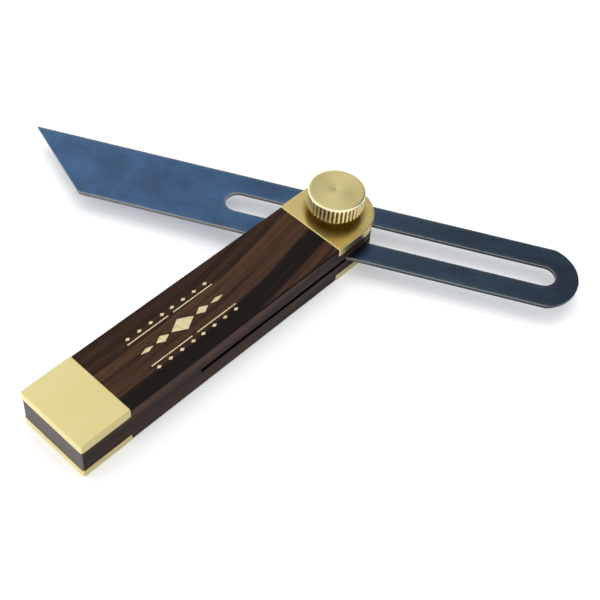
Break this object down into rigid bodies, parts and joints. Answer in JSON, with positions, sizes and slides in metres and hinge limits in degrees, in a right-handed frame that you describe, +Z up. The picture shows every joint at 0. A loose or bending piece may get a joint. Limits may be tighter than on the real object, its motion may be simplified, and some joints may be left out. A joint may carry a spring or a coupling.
{
  "type": "sliding bevel",
  "caption": "Sliding bevel with a rosewood stock, brass end plates, a slotted blued steel blade and a knurled brass clamping knob.",
  "frame": {"origin": "where the clamp's pivot axis meets the flat underside of the stock", "axes": "+Z up along the pivot axis towards the knob, -X along the stock towards its butt, +Y to the left side of the stock"},
  "size_m": [0.1629, 0.1746, 0.0243],
  "materials": {
    "rosewood": "oiled and polished dark rosewood",
    "brass": "satin, fine brushed",
    "blued_steel": "heat blued, ground lengthwise",
    "plain_steel": "turned"
  },
  "bodies": {
    "stock": {"stock_body": "rosewood", "top_butt_plate": "brass", "bottom_butt_plate": "brass", "top_pivot_plate": "brass", "bottom_pivot_plate": "brass", "clamp_stud": "plain_steel", "butt_rivet_1": "brass", "butt_rivet_2": "brass", "butt_rivet_3": "brass", "top_pivot_pin_1": "brass", "bottom_pivot_pin_1": "brass", "top_pivot_pin_2": "brass", "bottom_pivot_pin_2": "brass", "top_pivot_pin_3": "brass", "bottom_pivot_pin_3": "brass"},
    "bush": {"slot_bush": "plain_steel"},
    "blade": {"blade": "blued_steel"},
    "washer": {"knob_washer": "brass"},
    "knob": {"clamp_knob": "brass"}
  },
  "joints": [
    {"name": "blade_swing", "type": "hinge", "parent": "stock", "child": "bush", "pos_m": [0, 0, 0.0075], "axis": [0, 0, 1], "range_deg": [-96.5, 39.5]},
    {"name": "blade_slide", "type": "slide", "parent": "bush", "child": "blade", "axis": [0.4772, -0.8788, 0], "range_m": [-0.07, 0.0322]},
    {"name": "knob_lift", "type": "slide", "parent": "stock", "child": "washer", "axis": [0, 0, 1], "range_m": [0, 0.0015]},
    {"name": "knob_turn", "type": "hinge", "parent": "washer", "child": "knob", "pos_m": [0, 0, 0.0187], "axis": [0, 0, 1], "range_deg": [0, 540.1]}
  ],
  "couplings": [
    {"joint": "knob_turn", "follows": "knob_lift", "rad_per_m": 6283.2}
  ]
}
